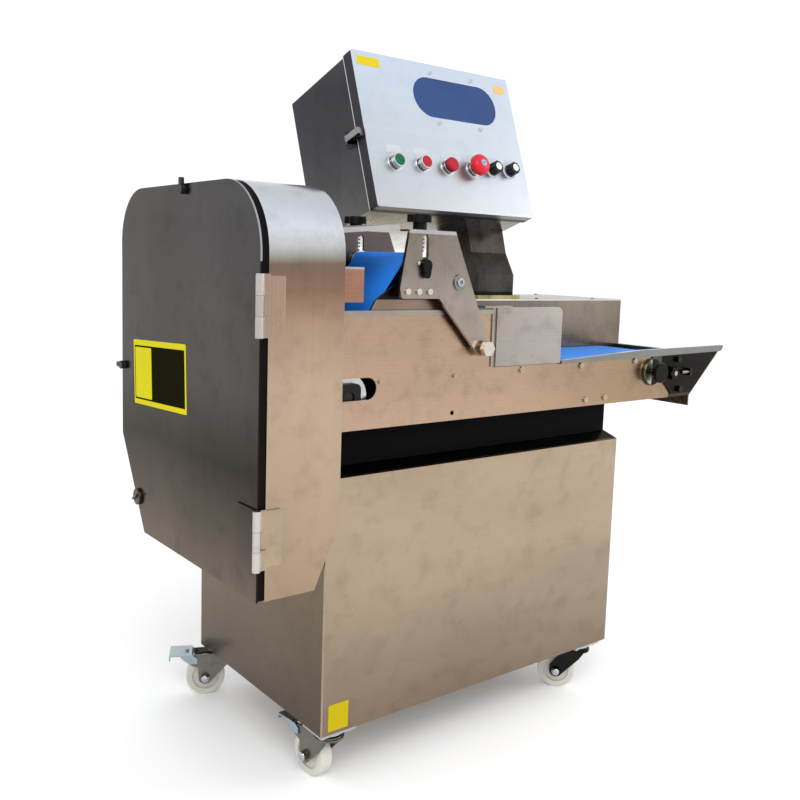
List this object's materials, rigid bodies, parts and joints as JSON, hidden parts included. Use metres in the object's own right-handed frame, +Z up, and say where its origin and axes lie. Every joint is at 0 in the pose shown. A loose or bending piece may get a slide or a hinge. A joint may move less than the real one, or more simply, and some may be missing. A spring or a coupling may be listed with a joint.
{
  "type": "vegetable cutting machine",
  "caption": "Mobile vegetable cutting machine: cabinet on casters, feed conveyor with press belt, rotary knife housing with door, tilted control box.",
  "frame": {"origin": "middle of the machine's footprint on the floor", "axes": "+Z up, +X towards the infeed end of the conveyor, the operator stands at -Y"},
  "size_m": [1.2115, 0.5396, 1.2569],
  "materials": {
    "stainless": "brushed stainless sheet, satin",
    "stainless_light": "brushed stainless sheet, bright",
    "door_dark": "smooth stainless sheet that mirrors dark surroundings",
    "riser_black": "black paint, satin",
    "seal_black": "black sponge rubber",
    "latch_black": "black nylon",
    "belt_blue": "blue food-grade belting, slightly glossy",
    "steel_parts": "turned and milled steel",
    "bearing_black": "black painted castings",
    "blade_steel": "ground blade steel",
    "motor_grey": "grey painted aluminium housings",
    "vbelt_black": "black rubber",
    "box_grey": "light grey-blue satin",
    "window_dark": "dark tinted acrylic",
    "bezel_chrome": "satin chrome rings",
    "button_green": "green plastic",
    "button_red": "red plastic",
    "knob_black": "black plastic",
    "zinc": "bright zinc plate",
    "nylon_cream": "cream nylon"
  },
  "bodies": {
    "frame": {"cabinet_shell": "stainless", "rear_panel": "stainless", "riser_frame": "riser_black", "knife_housing": "stainless_light", "hinge_brackets": "stainless", "conveyor_front_plate": "stainless", "drive_casing": "stainless_light", "casing_cover": "stainless_light", "slider_bed": "stainless_light", "guide_plate": "stainless_light", "tail_bracket": "stainless", "throat_guards": "stainless_light", "feed_belt": "belt_blue", "shaft_bearings": "bearing_black", "electric_drives": "motor_grey", "cutter_belts": "vbelt_black", "pivot_bolts": "steel_parts", "control_box": "box_grey", "control_column": "stainless", "frame_fasteners": "zinc"},
    "door": {"housing_door": "door_dark", "door_gasket": "seal_black"},
    "latch_top": {"latch_top": "latch_black"},
    "latch_rear": {"latch_rear": "latch_black"},
    "latch_lower": {"latch_lower": "latch_black"},
    "cutter": {"main_shaft": "steel_parts", "cutter_wheel": "steel_parts", "cutter_blades": "blade_steel"},
    "motor_pulley": {"motor_pulley": "steel_parts"},
    "feed_drive": {"feed_drive_roller": "steel_parts"},
    "feed_tail": {"feed_tail_roller": "steel_parts"},
    "press": {"press_arm": "stainless", "press_frame": "stainless_light", "press_belt": "belt_blue", "press_adjusters": "steel_parts"},
    "press_roller_front": {"press_roller_front": "steel_parts"},
    "press_roller_rear": {"press_roller_rear": "steel_parts"},
    "press_roller_top": {"press_roller_top": "steel_parts"},
    "star_knob_front": {"star_knob_front": "knob_black"},
    "star_knob_rear": {"star_knob_rear": "knob_black"},
    "lid": {"control_lid": "box_grey", "lid_window": "window_dark", "button_bezels": "bezel_chrome"},
    "lid_latch": {"lid_latch": "zinc"},
    "button_green": {"button_green": "button_green"},
    "button_red": {"button_red": "button_red"},
    "button_stop": {"button_stop": "button_red"},
    "estop": {"estop_button": "button_red"},
    "speed_knob_left": {"speed_knob_left": "knob_black"},
    "speed_knob_right": {"speed_knob_right": "knob_black"},
    "fork_front_left": {"caster_fork_front_left": "zinc"},
    "wheel_front_left": {"caster_wheel_front_left": "nylon_cream"},
    "pedal_front_left": {"caster_pedal_front_left": "zinc"},
    "fork_rear_left": {"caster_fork_rear_left": "zinc"},
    "wheel_rear_left": {"caster_wheel_rear_left": "nylon_cream"},
    "pedal_rear_left": {"caster_pedal_rear_left": "zinc"},
    "fork_front_right": {"caster_fork_front_right": "zinc"},
    "wheel_front_right": {"caster_wheel_front_right": "nylon_cream"},
    "fork_rear_right": {"caster_fork_rear_right": "zinc"},
    "wheel_rear_right": {"caster_wheel_rear_right": "nylon_cream"}
  },
  "joints": [
    {"name": "door_hinge", "type": "hinge", "parent": "frame", "child": "door", "pos_m": [-0.59975, -0.26384, 0.625], "axis": [0, 0, 1], "range_deg": [0, 115]},
    {"name": "latch_top_turn", "type": "hinge", "parent": "door", "child": "latch_top", "pos_m": [-0.59875, -0.008, 0.9705], "axis": [1, 0, 0], "range_deg": [0, 90]},
    {"name": "latch_rear_turn", "type": "hinge", "parent": "door", "child": "latch_rear", "pos_m": [-0.59875, 0.2475, 0.663], "axis": [1, 0, 0], "range_deg": [0, 90]},
    {"name": "latch_lower_turn", "type": "hinge", "parent": "door", "child": "latch_lower", "pos_m": [-0.59875, 0.18, 0.429], "axis": [1, 0, 0], "range_deg": [0, 90]},
    {"name": "cutter_spin", "type": "hinge", "parent": "frame", "child": "cutter", "pos_m": [-0.45275, 0.024, 0.685], "axis": [1, 0, 0], "continuous": true},
    {"name": "motor_spin", "type": "hinge", "parent": "frame", "child": "motor_pulley", "pos_m": [-0.27775, 0.024, 0.257], "axis": [1, 0, 0], "continuous": true},
    {"name": "feed_drive_spin", "type": "hinge", "parent": "frame", "child": "feed_drive", "pos_m": [-0.40775, -0.113, 0.651], "axis": [0, 1, 0], "continuous": true},
    {"name": "feed_tail_spin", "type": "hinge", "parent": "frame", "child": "feed_tail", "pos_m": [0.41925, -0.113, 0.651], "axis": [0, 1, 0], "continuous": true},
    {"name": "press_lift", "type": "hinge", "parent": "frame", "child": "press", "pos_m": [-0.14175, -0.12, 0.723], "axis": [0, 1, 0], "range_deg": [0, 5.5]},
    {"name": "press_front_spin", "type": "hinge", "parent": "press", "child": "press_roller_front", "pos_m": [-0.38875, -0.125, 0.718], "axis": [0, 1, 0], "continuous": true},
    {"name": "press_rear_spin", "type": "hinge", "parent": "press", "child": "press_roller_rear", "pos_m": [-0.20275, -0.125, 0.752], "axis": [0, 1, 0], "continuous": true},
    {"name": "press_top_spin", "type": "hinge", "parent": "press", "child": "press_roller_top", "pos_m": [-0.27775, -0.125, 0.863], "axis": [0, 1, 0], "continuous": true},
    {"name": "star_knob_front_turn", "type": "hinge", "parent": "press", "child": "star_knob_front", "pos_m": [-0.27775, -0.213, 0.933], "axis": [0, 0, 1], "range_deg": [-360, 360]},
    {"name": "star_knob_rear_turn", "type": "hinge", "parent": "press", "child": "star_knob_rear", "pos_m": [-0.27775, -0.0315, 0.933], "axis": [0, 0, 1], "range_deg": [-360, 360]},
    {"name": "lid_hinge", "type": "hinge", "parent": "frame", "child": "lid", "pos_m": [0.16875, 0.03603, 1.1019], "axis": [0, 0.3289, 0.9444], "range_deg": [0, 110]},
    {"name": "lid_latch_hinge", "type": "hinge", "parent": "frame", "child": "lid_latch", "pos_m": [-0.24575, 0.05011, 1.09064], "axis": [0, -0.3289, -0.9444], "range_deg": [0, 100]},
    {"name": "button_green_press", "type": "slide", "parent": "lid", "child": "button_green", "axis": [0, 0.9444, -0.3289], "range_m": [0, 0.003], "stiffness_N_per_m": 300, "springref_m": -0.002},
    {"name": "button_red_press", "type": "slide", "parent": "lid", "child": "button_red", "axis": [0, 0.9444, -0.3289], "range_m": [0, 0.003], "stiffness_N_per_m": 300, "springref_m": -0.002},
    {"name": "button_stop_press", "type": "slide", "parent": "lid", "child": "button_stop", "axis": [0, 0.9444, -0.3289], "range_m": [0, 0.003], "stiffness_N_per_m": 300, "springref_m": -0.002},
    {"name": "estop_press", "type": "slide", "parent": "lid", "child": "estop", "axis": [0, 0.9444, -0.3289], "range_m": [0, 0.004], "stiffness_N_per_m": 600, "springref_m": -0.002},
    {"name": "speed_left_turn", "type": "hinge", "parent": "lid", "child": "speed_knob_left", "pos_m": [0.06975, -0.01388, 1.05892], "axis": [0, -0.9444, 0.3289], "range_deg": [-140, 140]},
    {"name": "speed_right_turn", "type": "hinge", "parent": "lid", "child": "speed_knob_right", "pos_m": [0.11775, -0.01338, 1.06034], "axis": [0, -0.9444, 0.3289], "range_deg": [-140, 140]},
    {"name": "swivel_front_left", "type": "hinge", "parent": "frame", "child": "fork_front_left", "pos_m": [-0.41875, -0.192, 0.083], "axis": [0, 0, 1], "continuous": true},
    {"name": "roll_front_left", "type": "hinge", "parent": "fork_front_left", "child": "wheel_front_left", "pos_m": [-0.42293, -0.15222, 0.0375], "axis": [-0.9945, -0.1045, 0], "continuous": true},
    {"name": "brake_front_left", "type": "hinge", "parent": "fork_front_left", "child": "pedal_front_left", "pos_m": [-0.42544, -0.12835, 0.075], "axis": [0.9945, 0.1045, 0], "range_deg": [0, 14]},
    {"name": "swivel_rear_left", "type": "hinge", "parent": "frame", "child": "fork_rear_left", "pos_m": [-0.40875, 0.196, 0.083], "axis": [0, 0, 1], "continuous": true},
    {"name": "roll_rear_left", "type": "hinge", "parent": "fork_rear_left", "child": "wheel_rear_left", "pos_m": [-0.44439, 0.21416, 0.0375], "axis": [-0.454, -0.891, 0], "continuous": true},
    {"name": "brake_rear_left", "type": "hinge", "parent": "fork_rear_left", "child": "pedal_rear_left", "pos_m": [-0.46577, 0.22506, 0.075], "axis": [0.454, 0.891, 0], "range_deg": [0, 14]},
    {"name": "swivel_front_right", "type": "hinge", "parent": "frame", "child": "fork_front_right", "pos_m": [0.19525, -0.192, 0.083], "axis": [0, 0, 1], "continuous": true},
    {"name": "roll_front_right", "type": "hinge", "parent": "fork_front_right", "child": "wheel_front_right", "pos_m": [0.16954, -0.16136, 0.0375], "axis": [-0.766, -0.6428, 0], "continuous": true},
    {"name": "swivel_rear_right", "type": "hinge", "parent": "frame", "child": "fork_rear_right", "pos_m": [0.19925, 0.196, 0.083], "axis": [0, 0, 1], "continuous": true},
    {"name": "roll_rear_right", "type": "hinge", "parent": "fork_rear_right", "child": "wheel_rear_right", "pos_m": [0.21925, 0.23064, 0.0375], "axis": [-0.866, 0.5, 0], "continuous": true}
  ],
  "couplings": [
    {"joint": "motor_spin", "follows": "cutter_spin", "ratio": 1.4533},
    {"joint": "feed_tail_spin", "follows": "feed_drive_spin", "ratio": 1},
    {"joint": "press_front_spin", "follows": "feed_drive_spin", "ratio": -2},
    {"joint": "press_rear_spin", "follows": "feed_drive_spin", "ratio": -2},
    {"joint": "press_top_spin", "follows": "feed_drive_spin", "ratio": -2}
  ]
}
